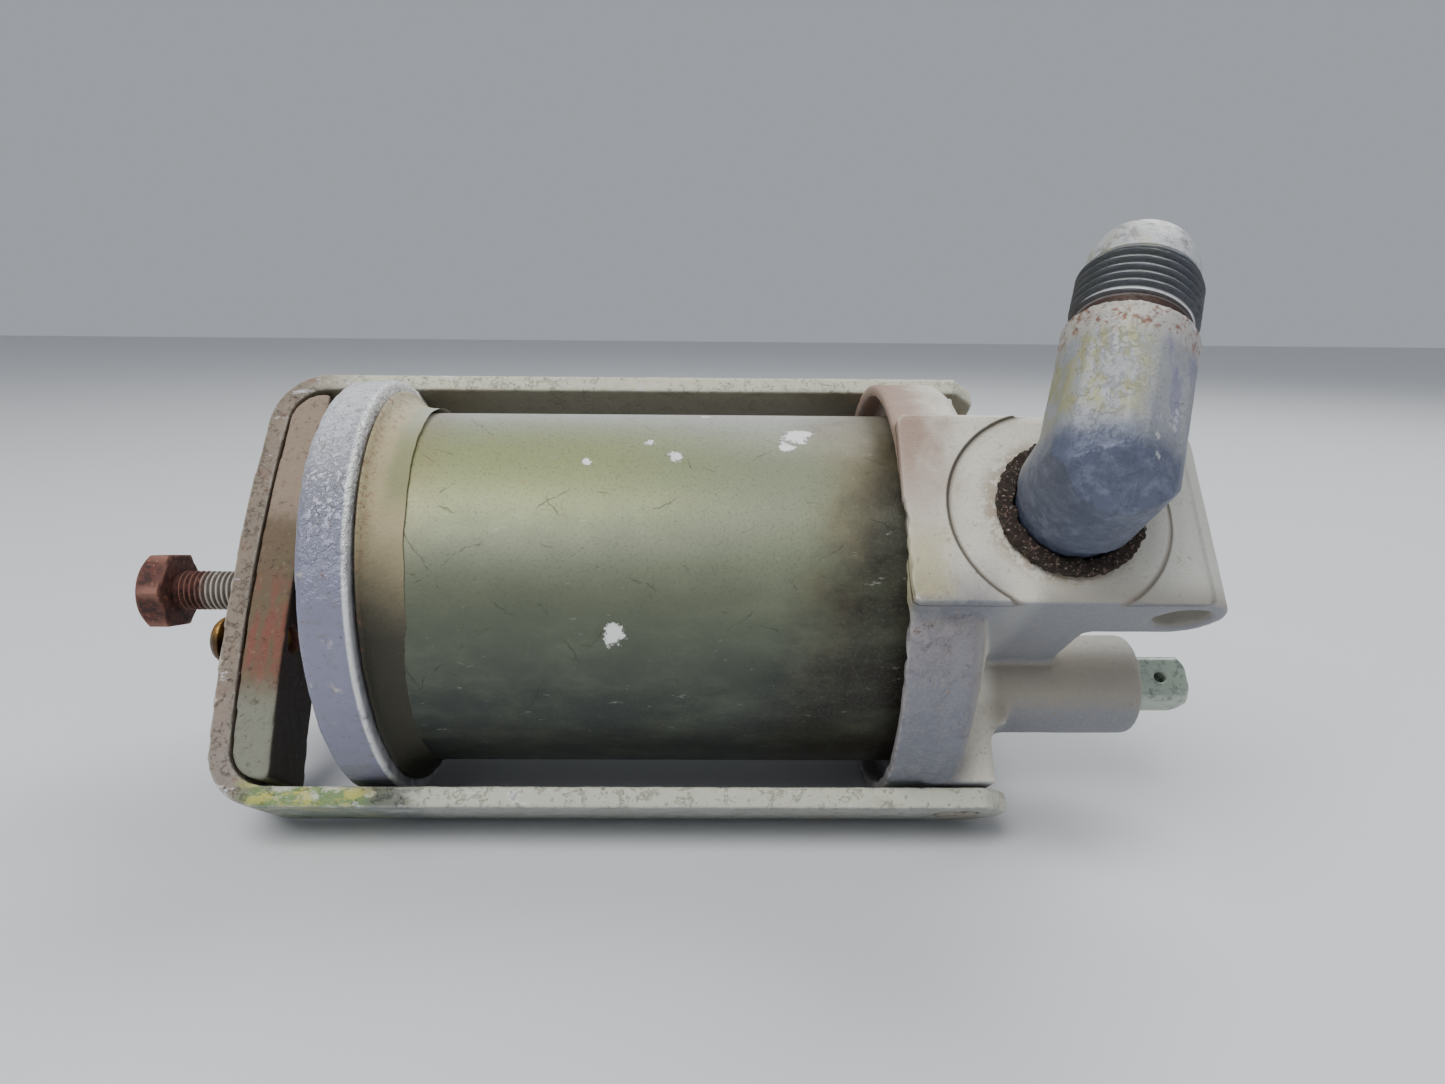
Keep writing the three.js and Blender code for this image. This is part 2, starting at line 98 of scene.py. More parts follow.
swing = next(joint for joint in frame["joints"] if joint["name"] == "bail_swing")
lying_z = Vector(swing["axis"]).normalized()
lying_x = Vector((1, 0, 0))
lying_y = lying_z.cross(lying_x)
origin = Vector(swing["pos_m"]) - PIVOT_X * MM * lying_x
LYING = Matrix((lying_x, lying_y, lying_z)).transposed().to_4x4()
TO_ROW = Matrix.Translation(origin) @ LYING @ Matrix.Scale(MM, 4)


ALONG_X = Matrix(((0, 0, 1), (1, 0, 0), (0, 1, 0))).to_4x4()  # stands a turned piece along X


# ---- materials ----

def rgb(code):
    """A colour written as six hexadecimal digits, in the linear values that shaders take."""
    parts = [int(code[i:i + 2], 16) / 255 for i in (0, 2, 4)]
    return (*[((c + 0.055) / 1.055) ** 2.4 if c > 0.04 else c / 12.92 for c in parts], 1)


class Finish:
    """A procedural material whose patterns are placed in lying millimetres."""

    def __init__(self, name, base, roughness=0.6, metallic=0.0):
        self.material = bpy.data.materials.new(name)
        self.material.use_nodes = True
        self.tree = self.material.node_tree
        self.shader = self.tree.nodes["Principled BSDF"]
        self.shader.inputs["Metallic"].default_value = metallic
        self.shader.inputs["Roughness"].default_value = roughness
        place = self.tree.nodes.new("ShaderNodeMapping")
        turn = LYING.to_3x3().transposed()
        place.inputs["Scale"].default_value = (1 / MM,) * 3
        place.inputs["Rotation"].default_value = turn.to_euler()
        place.inputs["Location"].default_value = turn @ (-origin / MM)
        coordinates = self.tree.nodes.new("ShaderNodeTexCoord")
        self.tree.links.new(coordinates.outputs["Object"], place.inputs["Vector"])
        self.place = place.outputs[0]
        split = self.tree.nodes.new("ShaderNodeSeparateXYZ")
        self.tree.links.new(self.place, split.inputs[0])
        self.x, self.y, self.z = split.outputs
        self.colour = self.tree.nodes.new("ShaderNodeRGB").outputs[0]
        self.colour.default_value = rgb(base)
        self.height = None

    def feed(self, socket, value):
        if isinstance(value, bpy.types.NodeSocket):
            self.tree.links.new(value, socket)
        else:
            socket.default_value = value

    def math(self, operation, a, b=0.0):
        node = self.tree.nodes.new("ShaderNodeMath")
        node.operation = operation
        self.feed(node.inputs[0], a)
        self.feed(node.inputs[1], b)
        return node.outputs[0]

    def noise(self, size, detail=7, stretch=(1, 1, 1), seed=0):
        """Cloudy noise whose patches are about `size` mm across."""
        shift = self.tree.nodes.new("ShaderNodeMapping")
        shift.inputs["Scale"].default_value = [1 / s for s in stretch]
        shift.inputs["Location"].default_value = (seed * 37.1, seed * 11.3, seed * 5.7)
        self.feed(shift.inputs["Vector"], self.place)
        node = self.tree.nodes.new("ShaderNodeTexNoise")
        node.inputs["Scale"].default_value = 1 / size
        node.inputs["Detail"].default_value = detail
        node.inputs["Roughness"].default_value = 0.7
        self.feed(node.inputs["Vector"], shift.outputs[0])
        return node.outputs[0]

    def band(self, value, low, high):
        """0 below `low`, 1 above `high`, eased between; falls instead when low is above high."""
        node = self.tree.nodes.new("ShaderNodeMapRange")
        node.interpolation_type = "SMOOTHSTEP"
        self.feed(node.inputs["Value"], value)
        node.inputs["From Min"].default_value = min(low, high)
        node.inputs["From Max"].default_value = max(low, high)
        node.inputs["To Min"].default_value = 0 if low < high else 1
        node.inputs["To Max"].default_value = 1 if low < high else 0
        return node.outputs["Result"]

    def patches(self, size, share, soft=0.05, stretch=(1, 1, 1), seed=0, detail=8):
        """A mask of ragged patches; a larger `share` covers more."""
        edge = 0.68 - 0.36 * share
        return self.band(self.noise(size, detail, stretch, seed), edge - soft, edge + soft)

    def both(self, *masks):
        result = masks[0]
        for mask in masks[1:]:
            result = self.math("MULTIPLY", result, mask)
        return result

    def wander(self, value, size, amount, seed=0):
        """A coordinate shaken by noise, so that an edge drawn along it comes out ragged."""
        shake = self.math("MULTIPLY", self.math("SUBTRACT", self.noise(size, seed=seed), 0.5), amount)
        return self.math("ADD", value, shake)

    def near(self, at, radius, seed=0):
        """A ragged spot about a point."""
        node = self.tree.nodes.new("ShaderNodeVectorMath")
        node.operation = "DISTANCE"
        self.feed(node.inputs[0], self.place)
        node.inputs[1].default_value = at
        ragged = self.wander(node.outputs["Value"], radius * 0.7, radius * 2.6, seed)
        return self.band(ragged, radius, radius * 0.75)

    def coat(self, mask, code, strength=1.0):
        """Lays a colour over what is there, where the mask is."""
        node = self.tree.nodes.new("ShaderNodeMix")
        node.data_type = "RGBA"
        self.feed(node.inputs[0], self.math("MULTIPLY", mask, strength))
        self.feed(node.inputs[6], self.colour)
        node.inputs[7].default_value = rgb(code)
        self.colour = node.outputs[2]

    def rise(self, mask, amount):
        """Adds height in mm where the mask is."""
        part = self.math("MULTIPLY", mask, amount)
        self.height = part if self.height is None else self.math("ADD", self.height, part)

    def facing(self, axis):
        """How far the surface faces along an axis of the lying frame."""
        node = self.tree.nodes.new("ShaderNodeVectorMath")
        node.operation = "DOT_PRODUCT"
        normal = self.tree.nodes.new("ShaderNodeNewGeometry").outputs["Normal"]
        to_object = self.tree.nodes.new("ShaderNodeVectorTransform")
        to_object.vector_type = "NORMAL"
        to_object.convert_from = "WORLD"
        to_object.convert_to = "OBJECT"
        self.feed(to_object.inputs[0], normal)
        self.feed(node.inputs[0], to_object.outputs[0])
        node.inputs[1].default_value = LYING.to_3x3() @ Vector(axis)
        return node.outputs["Value"]

    def edges(self, low, high):
        """A mask of convex edges, which wear bright."""
        sharpness = self.tree.nodes.new("ShaderNodeNewGeometry").outputs["Pointiness"]
        return self.band(sharpness, low, high)

    def scratches(self, turn, seed):
        """Thin broken lines running one way over the surface."""
        along_x = self.math("MULTIPLY", self.x, math.sin(turn))
        along_z = self.math("MULTIPLY", self.z, math.cos(turn))
        bent = self.wander(self.math("ADD", along_x, along_z), 20, 7, seed)
        phase = self.math("FRACT", self.math("MULTIPLY", bent, 0.085))
        line = self.band(self.math("ABSOLUTE", self.math("SUBTRACT", phase, 0.5)), 0.012, 0.006)
        return self.both(line, self.patches(11, 0.32, 0.04, seed=seed + 12))

    def roughen(self, mask, low, high):
        node = self.tree.nodes.new("ShaderNodeMapRange")
        self.feed(node.inputs["Value"], mask)
        node.inputs["To Min"].default_value = low
        node.inputs["To Max"].default_value = high
        self.feed(self.shader.inputs["Roughness"], node.outputs["Result"])

    def finish(self):
        self.feed(self.shader.inputs["Base Color"], self.colour)
        if self.height is not None:
            bump = self.tree.nodes.new("ShaderNodeBump")
            bump.inputs["Strength"].default_value = 1
            bump.inputs["Distance"].default_value = MM
            self.feed(bump.inputs["Height"], self.height)
            self.feed(self.shader.inputs["Normal"], bump.outputs[0])
        return self.material


def cream_paint():
    """Cream paint over a casting: stained by rust on the left, greyer on the ear, with painted shade on the
    skirt's lower half, the valve boss, the faces turned down and the spotface step.
    """
    f = Finish("cream_paint", "c9c4b4", 0.55)
    f.coat(f.noise(14), "dedbd0", 0.7)
    f.coat(f.band(f.x, 26, 32), "b9bab4", 0.7)
    # painted shade: the valve boss under the block is darkened
    boss = f.both(f.band(f.z, -12, -19), f.band(f.x, 9, 13))
    f.coat(boss, "8a8379", 0.85)
    # painted shade: the skirt's lower half is darkened purple-grey; the chips and rust spots laid over it
    # below are the casting's own
    skirt = f.both(f.band(f.wander(f.z, 9, 8), -8, -22), f.band(f.x, 8, 1))
    f.coat(skirt, "6c6973", 0.9)
    f.coat(f.both(skirt, f.patches(7, 0.4, 0.1, seed=2)), "8f8788", 0.6)
    f.coat(f.both(skirt, f.patches(2.4, 0.22, seed=3)), "5c4a42", 0.8)
    # painted shade: faces turned down are darkened blue-grey, a painted reflection of the blue backdrop
    f.coat(f.band(f.facing((0, 0, 1)), -0.4, -0.9), "6f7582", 0.75)
    stain = f.both(f.band(f.wander(f.x, 5, 14, 4), 3, -8), f.band(f.z, -14, 12))
    f.coat(stain, "8e6c5b", 0.85)
    streak = f.both(f.band(f.wander(f.x, 4, 9, 6), 0, -7), f.band(f.wander(f.z, 5, 10, 6), -2, -10))
    f.coat(f.both(streak, f.band(f.z, -19, -16)), "a9a06c", 0.6)
    f.coat(f.patches(1.3, 0.12, seed=5), "8d7a66", 0.7)
    f.coat(f.patches(0.6, 0.3, 0.1, seed=8), "a39c8c", 0.35)
    f.coat(f.edges(0.53, 0.6), "ece9df", 0.5)
    f.coat(f.edges(0.47, 0.42), "6e6254", 0.6)
    east = f.math("SUBTRACT", f.x, SPOTFACE["x"])
    north = f.math("SUBTRACT", f.z, SPOTFACE["z"])
    away = f.math("SQRT", f.math("ADD", f.math("MULTIPLY", east, east), f.math("MULTIPLY", north, north)))
    front = f.band(f.y, -39.5, -40.2)
    step = SPOTFACE["radius"]
    f.rise(f.both(front, f.band(away, step - 0.35, step + 0.35)), 0.75)
    # painted shadow: a dark line round the spotface step stands for the shade in the step
    rim = f.both(front, f.band(away, step - 0.9, step - 0.3), f.band(away, step + 0.5, step))
    f.coat(rim, "7f7568", 0.75)
    f.coat(f.both(front, f.band(away, 14.5, 11.5), f.patches(2, 0.6)), "93816a", 0.7)
    machined = f.both(front, f.noise(0.35, 2, (60, 1, 1)))
    f.rise(machined, 0.09)
    f.rise(f.noise(0.7), 0.16)
    f.rise(f.both(skirt, f.patches(7, 0.4, 0.05, seed=2)), 0.12)
    f.roughen(f.noise(4), 0.42, 0.7)
    return f.finish()


def green_anodise():
    """Faded olive anodise, sooty at the head, scratched and flecked, with a painted highlight along the top,
    painted light across the middle and painted shade turning dark grey towards the bottom.
    """
    f = Finish("green_anodise", "7c8268", 0.42, 0.25)
    # painted highlight: the top of the bowl is lightened to a pale grey
    f.coat(f.band(f.z, 10, 33), "c3c4c1", 0.95)
    # painted light: a lighter yellow-green band across the middle of the near side
    painted_light_band = f.both(f.band(f.wander(f.z, 12, 8), -8, 8), f.band(f.z, 30, 12), f.band(f.x, -25, -70))
    f.coat(painted_light_band, "939a62", 0.7)
    # painted shade: the bowl darkens towards the bottom and is nearly black underneath
    f.coat(f.band(f.wander(f.z, 40, 8, 1), 4, -26), "3d443c", 0.9)
    f.coat(f.band(f.z, -20, -34), "23292b", 0.9)
    f.coat(f.band(f.wander(f.x, 9, 22, 2), -30, -12), "6b5a40", 0.7)
    lean = f.math("ADD", f.x, f.math("MULTIPLY", f.z, -0.45))
    f.coat(f.band(f.wander(lean, 6, 16, 3), -25, -7), "15130f", 0.95)
    f.coat(f.both(f.band(f.x, -86, -95), f.band(f.z, -16, 6), f.noise(5)), "8d7c58", 0.8)
    upper_left = f.both(f.band(f.x, -60, -86), f.band(f.z, -4, 8))
    f.coat(f.both(upper_left, f.patches(1.3, 0.1, 0.04, seed=4)), "96603f", 0.7)
    f.coat(f.patches(0.5, 0.3, 0.06, seed=6), "4b4c3c", 0.4)
    f.coat(f.patches(9, 0.28, 0.2, (2, 1, 1), 7), "8b9177", 0.2)
    f.coat(f.patches(1.2, 0.05, 0.03, (3, 1, 1), 9), "a5a698", 0.35)
    flecks = [((-26, -29, 18), 2.9), ((-28, -30.5, 15), 1.9), ((-48, -32, 12.5), 1.7)]
    flecks += [((-53, -30.5, 16), 1.1), ((-58, -28.5, -19.5), 2.1), ((-43, -22, 27), 1.4)]
    flecks += [((-64, -33, 11), 1.0), ((-37, -27, 20.5), 1.0)]
    for index, (at, radius) in enumerate(flecks):
        fleck = f.near(at, radius, index + 1)
        f.coat(fleck, "e3e5e0")
        f.rise(fleck, 0.12)
    for index, turn in enumerate((0.35, -0.6, 0.9)):
        scratch = f.scratches(turn, index)
        f.coat(scratch, "34372c", 0.45)
        f.rise(scratch, -0.05)
    f.rise(f.noise(0.5, 2), 0.03)
    f.roughen(f.noise(8), 0.34, 0.6)
    return f.finish()


def silver_paint():
    """Thick silver paint: pebbled and lit by a painted highlight above, smoother and in painted blue-grey
    shade below, chipped at the rim.
    """
    f = Finish("silver_paint", "9899a4", 0.42, 0.3)
    # painted highlight above; the band below is painted shade tinted blue
    f.coat(f.band(f.z, -4, 30), "e4e5e8", 0.95)
    f.coat(f.band(f.wander(f.z, 10, 9), 8, -14), "7c7d93", 0.85)
    f.coat(f.patches(1.6, 0.25, 0.06, seed=1), "77746f", 0.6)
    f.coat(f.patches(5, 0.2, 0.03, seed=2), "c9c4b6", 0.5)
    f.coat(f.both(f.patches(0.9, 0.12, 0.03, seed=3), f.band(f.z, 20, 0)), "6b4a3c", 0.7)
    along = f.math("ADD", f.math("MULTIPLY", f.math("SUBTRACT", f.x, CAP_X), math.cos(CAP_TILT)),
                   f.math("MULTIPLY", f.z, math.sin(CAP_TILT)))
    chamfer = f.both(f.band(along, -1.1, -0.6), f.band(along, 0.1, -0.25))
    f.coat(f.both(chamfer, f.patches(3, 0.8, 0.1, seed=6)), "f2f2f0", 0.9)
    f.coat(f.band(along, -0.15, 0.1), "8b8a86", 0.8)
    pebbles = f.band(f.noise(1.7, 3, seed=4), 0.4, 0.62)
    f.rise(f.both(pebbles, f.band(f.z, -24, 4)), 0.42)
    f.rise(f.noise(0.5, 2), 0.1)
    f.roughen(f.noise(3), 0.3, 0.55)
    return f.finish()


def sandy_sealant():
    """Dusty sandy film with pink-brown rust specks, lit by a painted highlight above and running into the
    bowl's painted shade below.
    """
    f = Finish("sandy_sealant", "a59672", 0.8)
    f.coat(f.noise(5), "c0b491", 0.7)
    # painted highlight above; the band below is painted shade that runs on into the bowl's painted shade
    f.coat(f.band(f.z, 12, 32), "c9c2ac", 0.7)
    f.coat(f.band(f.wander(f.z, 9, 9), 2, -22), "2b2c26", 0.95)
    f.coat(f.both(f.band(f.wander(f.x, 3, 2), -99.6, -96.5), f.band(f.z, -4, 6)), "848861", 0.9)
    # painted highlight: the pale grey of the bowl's top carried onto the sealant beside it
    f.coat(f.both(f.band(f.x, -99.6, -96.5), f.band(f.z, 12, 30)), "b9bab0", 0.8)
    f.coat(f.both(f.patches(1.2, 0.3, 0.06, seed=1), f.band(f.x, -98.5, -100)), "8a6249", 0.7)
    f.coat(f.both(f.patches(0.7, 0.24, 0.06, seed=2), f.band(f.x, -98.5, -100)), "54402f", 0.6)
    f.rise(f.noise(0.8), 0.3)
    return f.finish()


def strap_paint():
    """Pale sage paint: dirty brown round the end, chipped green and yellow near the lower bend."""
    f = Finish("strap_paint", "b3b5a4", 0.55, 0.1)
    f.coat(f.noise(9, stretch=(3, 1, 1)), "cac9b8", 0.75)
    f.coat(f.band(f.z, 38, 42), "c3bfa9", 0.5)
    dirt = f.band(f.wander(f.x, 8, 14, 1), -116, -130)
    f.coat(dirt, "6d5e50", 0.92)
    f.coat(f.both(dirt, f.patches(8, 0.45, 0.12, seed=2)), "877766", 0.8)
    f.coat(f.both(dirt, f.band(f.z, -18, -36)), "8a7f78", 0.6)
    f.coat(f.both(dirt, f.patches(1.1, 0.24, 0.07, seed=3)), "3b3028", 0.75)
    f.coat(f.both(dirt, f.patches(3, 0.18, 0.08, seed=13)), "74493a", 0.6)
    lower = f.band(f.z, -36, -40)
    chips = f.both(lower, f.band(f.x, -98, -104), f.band(f.x, -128, -122))
    f.coat(f.both(chips, f.patches(4, 0.62, 0.04, (2, 1, 1), 4)), "5d7a3c", 0.9)
    f.coat(f.both(chips, f.patches(3, 0.4, 0.04, (2, 1, 1), 5)), "b7b155", 0.8)
    grey = f.both(lower, f.band(f.x, -105, -101), f.band(f.x, -92, -97))
    f.coat(f.both(grey, f.patches(5, 0.6, 0.06, (2, 1, 1), 6)), "4d5148", 0.85)
    f.coat(f.both(f.patches(2.2, 0.16, 0.03, (3, 1, 1), 7)), "d9d8dc", 0.7)
    # painted shade: faces turned down are darkened grey-blue, and those under the upper arm dark brown
    f.coat(f.band(f.facing((0, 0, 1)), -0.5, -0.9), "8a8f92", 0.6)
    under = f.both(f.band(f.z, 30, 38), f.band(f.facing((0, 0, 1)), -0.4, -0.9))
    f.coat(under, "6a6248", 0.8)
    f.coat(f.patches(1.0, 0.18, 0.04, seed=8), "6d6352", 0.7)
    f.coat(f.both(f.patches(6, 0.3, 0.06, (4, 1, 1), 9), f.band(f.x, -40, 0)), "8f7f68", 0.5)
    f.coat(f.edges(0.52, 0.58), "dcdacd", 0.5)
    f.rise(f.noise(1.1), 0.22)
    f.rise(f.patches(3, 0.3, 0.03, seed=10), -0.12)
    f.roughen(f.noise(5), 0.45, 0.75)
    return f.finish()


def bar_patina():
    """Brown patina that changes down the bar: pinkish beige, then streaked rust, then grey-green."""
    f = Finish("bar_patina", "665642", 0.75)
    f.coat(f.band(f.wander(f.z, 6, 9), 9, 15), "93806f", 0.9)
    f.coat(f.both(f.patches(5, 0.45, 0.05), f.band(f.z, 20, -10)), "5f5c3c", 0.6)
    rust = f.both(f.band(f.z, 2, -6), f.band(f.z, -29, -22), f.patches(2.4, 0.5, 0.1, (1, 1, 4), 1))
    f.coat(rust, "80463a", 0.8)
    f.coat(f.band(f.wander(f.z, 6, 8, 2), -20, -29), "7e8072", 0.9)
    # painted shade: the face turned towards the disc is darkened almost to black-brown
    f.coat(f.band(f.facing((1, 0, 0)), 0.5, 0.9), "33271f", 0.88)
    f.coat(f.patches(1.1, 0.18, 0.07, seed=3), "3a2c22", 0.7)
    f.coat(f.patches(0.9, 0.12, 0.06, seed=4), "a39079", 0.5)
    f.rise(f.noise(0.9), 0.35)
    return f.finish()


def rusty_steel():
    """Rusted steel, with bare thread crests between the strap and the rusty head."""
    f = Finish("rusty_steel", "4a2922", 0.75, 0.2)
    f.coat(f.noise(3), "6f4138", 0.8)
    f.coat(f.patches(1.6, 0.42, 0.08, seed=1), "30201c", 0.85)
    f.coat(f.patches(0.9, 0.2, 0.05, seed=2), "a8705c", 0.6)
    f.coat(f.edges(0.52, 0.6), "a97a68", 0.6)
    bare = f.both(f.band(f.wander(f.x, 3, 3), -145, -142), f.band(f.x, -126, -130))
    f.coat(bare, "77716a", 0.8)
    f.coat(f.both(bare, f.edges(0.5, 0.56)), "cfc9bd", 0.85)
    f.rise(f.noise(0.6), 0.22)
    return f.finish()


def worn_metal(name, base, light, dark, roughness, metallic, relief=0.06):
    """Bare metal with cloudy staining and pitting."""
    f = Finish(name, base, roughness, metallic)
    f.coat(f.noise(4), light, 0.75)
    f.coat(f.patches(2.2, 0.3, 0.07, seed=1), dark, 0.7)
    f.coat(f.patches(0.7, 0.2, 0.05, seed=2), dark, 0.5)
    f.coat(f.edges(0.52, 0.6), light, 0.6)
    f.rise(f.noise(0.6), relief)
    f.roughen(f.noise(3, seed=3), roughness - 0.12, roughness + 0.15)
    return f.finish()


def elbow_aluminium():
    """Weathered forging: olive mottling and lavender streaks above, painted slate shade on the heel and
    neck, and a painted highlight on the flared nose.
    """
    f = Finish("elbow_aluminium", "8b8d92", 0.42, 0.3)
    east = f.math("SUBTRACT", f.x, ELBOW_CORNER.x)
    north = f.math("SUBTRACT", f.z, ELBOW_CORNER.z)
    sine = math.sin(ELBOW_LEAN)
    cosine = math.cos(ELBOW_LEAN)
    up = f.math("ADD", f.math("MULTIPLY", east, sine), f.math("MULTIPLY", north, cosine))
    side = f.math("SUBTRACT", f.math("MULTIPLY", east, cosine), f.math("MULTIPLY", north, sine))
    f.coat(f.noise(7), "a9abac", 0.7)
    leg = f.band(up, 0, 5)
    f.coat(f.both(leg, f.patches(2.6, 0.5, 0.09, (1, 1, 2), 1), f.band(side, 3, -2)), "96935f", 0.75)
    f.coat(f.both(leg, f.patches(2.4, 0.45, 0.09, (1, 1, 4), 2), f.band(side, 0, 4)), "7c7c96", 0.75)
    # painted shade: the heel and neck, which face down, are darkened slate blue
    f.coat(f.band(f.wander(up, 5, 6), 4, -3), "454d64", 0.9)
    f.coat(f.both(f.band(up, 2, -4), f.patches(2.4, 0.3, 0.12, seed=3)), "7b8598", 0.5)
    collar = f.both(f.band(up, 16, 19), f.band(up, 23, 22))
    f.coat(collar, "b7b3ac", 0.7)
    f.coat(f.both(collar, f.patches(1.5, 0.35, 0.05, seed=4)), "7a4630", 0.85)
    f.coat(f.both(f.band(up, 22.0, 22.8), f.band(up, 25.9, 24.9)), "3c241b", 0.95)
    thread = f.both(f.band(up, 24.6, 25.4), f.band(up, 35, 34.4))
    f.coat(thread, "3d4147", 0.92)
    f.coat(f.both(thread, f.edges(0.505, 0.53)), "e2e3e3", 0.95)
    # painted highlight: the flared nose is lightened in clouds
    nose = f.band(up, 34.6, 35.2)
    f.coat(f.both(nose, f.noise(3, seed=5)), "d3d5d6", 0.9)
    f.coat(f.both(nose, f.patches(2, 0.35, 0.05, seed=6)), "7c7a78", 0.7)
    f.coat(f.patches(0.8, 0.16, 0.05, seed=7), "4a4640", 0.6)
    f.coat(f.edges(0.53, 0.6), "d2d4d5", 0.4)
    f.rise(f.noise(0.9), 0.16)
    f.rise(f.patches(2.4, 0.4, 0.05, seed=8), 0.07)
    f.roughen(f.noise(3), 0.3, 0.55)
    return f.finish()


def crust():
    """Dark crumbly old sealant with pink and white grains."""
    f = Finish("crust", "1d1814", 0.9)
    f.coat(f.noise(1.2), "43352a", 0.8)
    f.coat(f.patches(0.8, 0.25, 0.03, seed=1), "8c6f64", 0.8)
    f.coat(f.patches(0.6, 0.14, 0.03, seed=2), "cfc5b6", 0.85)
    f.rise(f.noise(0.6), 0.6)
    return f.finish()


def rubber():
    f = Finish("nitrile", "141414", 0.7)
    f.coat(f.noise(3), "262523", 0.8)
    f.rise(f.noise(0.5), 0.05)
    return f.finish()


def aged_brass():
    """Brass whose dome is bright above and darker below."""
    f = Finish("brass", "8f6a35", 0.4, 0.7)
    f.coat(f.noise(1.5), "c39a55", 0.7)
    f.coat(f.band(f.wander(f.z, 2, 2), -12, -15), "2f231a", 0.85)
    f.coat(f.patches(0.8, 0.3, 0.05), "4a3421", 0.6)
    f.rise(f.noise(0.5), 0.08)
    return f.finish()


FINISHES = {
    "cream_paint": cream_paint(),
    "green_anodise": green_anodise(),
    "silver_paint": silver_paint(),
    "sandy_sealant": sandy_sealant(),
    "strap_paint": strap_paint(),
    "bar_patina": bar_patina(),
    "rusty_steel": rusty_steel(),
    "pin_steel": worn_metal("pin_steel", "8a857b", "b7b1a5", "4a3326", 0.5, 0.5, 0.15),
    "brass": aged_brass(),
    "elbow_aluminium": elbow_aluminium(),
    "crust": crust(),
    "plug_aluminium": worn_metal("plug_aluminium", "96a294", "bac4b8", "5f6a60", 0.42, 0.35),
    "nitrile": rubber(),
    "inner_steel": worn_metal("inner_steel", "92969a", "b4b8bb", "6d6f70", 0.35, 0.85),
}
SLOTS = {part["node"]: part["material_slot"] for part in frame["record"]["subparts"]}


# ---- mesh work ----

def settle(mesh, node, name=None, soft=None):
    """Puts a mesh made in lying millimetres in place of a node, on its body, with its finish."""
    mesh.transform(TO_ROW)
    mesh.materials.clear()
    mesh.materials.append(FINISHES[SLOTS[node]])
    mesh.shade_smooth()
    if soft:
        mesh.set_sharp_from_angle(angle=math.radians(soft))
    piece = bpy.data.objects.new(name or node + "_detail", mesh)
    bpy.context.scene.collection.objects.link(piece)
    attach(piece, frame["nodes"][node]["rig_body"])
    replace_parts(piece, node)
    return piece


def remade(node, voxel, passes=2, shape=None):
    """A node's solid as a fine even mesh with its edges eased, each point then moved by `shape`."""
    source = frame["nodes"][node].data.copy()
    source.transform(TO_ROW.inverted())
    holder = bpy.data.objects.new(node + "_holder", source)
    bpy.context.scene.collection.objects.link(holder)
    weld = holder.modifiers.new("weld", "WELD")
    weld.merge_threshold = 0.002
    even = holder.modifiers.new("even", "REMESH")
    even.mode = "VOXEL"
    even.voxel_size = voxel
    ease = holder.modifiers.new("ease", "SMOOTH")
    ease.factor = 0.5
    ease.iterations = passes
    graph = bpy.context.evaluated_depsgraph_get()
    mesh = bpy.data.meshes.new_from_object(holder.evaluated_get(graph))
    bpy.data.objects.remove(holder)
    if shape:
        moved = [shape(v.co.copy(), v.normal.copy()) for v in mesh.vertices]
        for vertex, place in zip(mesh.vertices, moved):
            vertex.co = place
    return mesh


def pitted(depth, size, seed=0):
    """Moves points in by up to `depth` mm, in dents about `size` mm across."""
    def shape(place, normal):
        value = noise.noise(place / size + Vector((seed, 0, 0)))
        return place - normal * depth * (0.5 + 0.5 * value)
    return shape


def turned(stations, segments, frame_matrix, closed=False):
    """A solid about Z: each station is (along, radius), the radius a number or a function of angle."""
    points = []
    for along, radius in stations:
        for step in range(segments):
            angle = 2 * math.pi * step / segments
            r = radius(angle) if callable(radius) else radius
            points.append(Vector((r * math.cos(angle), r * math.sin(angle), along)))
    faces = []
    rows = len(stations)
    for row in range(rows if closed else rows - 1):
        below = row * segments
        above = ((row + 1) % rows) * segments
        for step in range(segments):
            after = (step + 1) % segments
            faces.append((below + step, below + after, above + after, above + step))
    if not closed:
        faces.append(tuple(reversed(range(segments))))
        faces.append(tuple(range((rows - 1) * segments, rows * segments)))
    mesh = bpy.data.meshes.new("turned")
    mesh.from_pydata([frame_matrix @ p for p in points], [], faces)
    mesh.update()
    return mesh


def thread(crest, depth, pitch, along):
    """The radius of a screw thread at one station, as a function of angle."""
    def radius(angle):
        phase = (along / pitch - angle / (2 * math.pi)) % 1
        flank = min(max((abs(2 * phase - 1) - 0.14) / 0.72, 0), 1)
        return crest - depth * flank
    return radius


def steps(start, end, spacing):
    count = max(1, round((end - start) / spacing))
    return [start + (end - start) * i / count for i in range(count + 1)]


# ---- pieces ----

def head():
    """The casting, with a ragged painted lip round the skirt's lower half."""
    fine = pitted(0.12, 6)

    def shape(place, normal):
        place = fine(place, normal)
        if place.x < -8.6 and place.z < 0:
            place.x += 0.9 * max(0, noise.noise(place / 2.6)) + 0.25
        return place
    settle(remade("head_casting", 0.8, 2, shape), "head_casting")


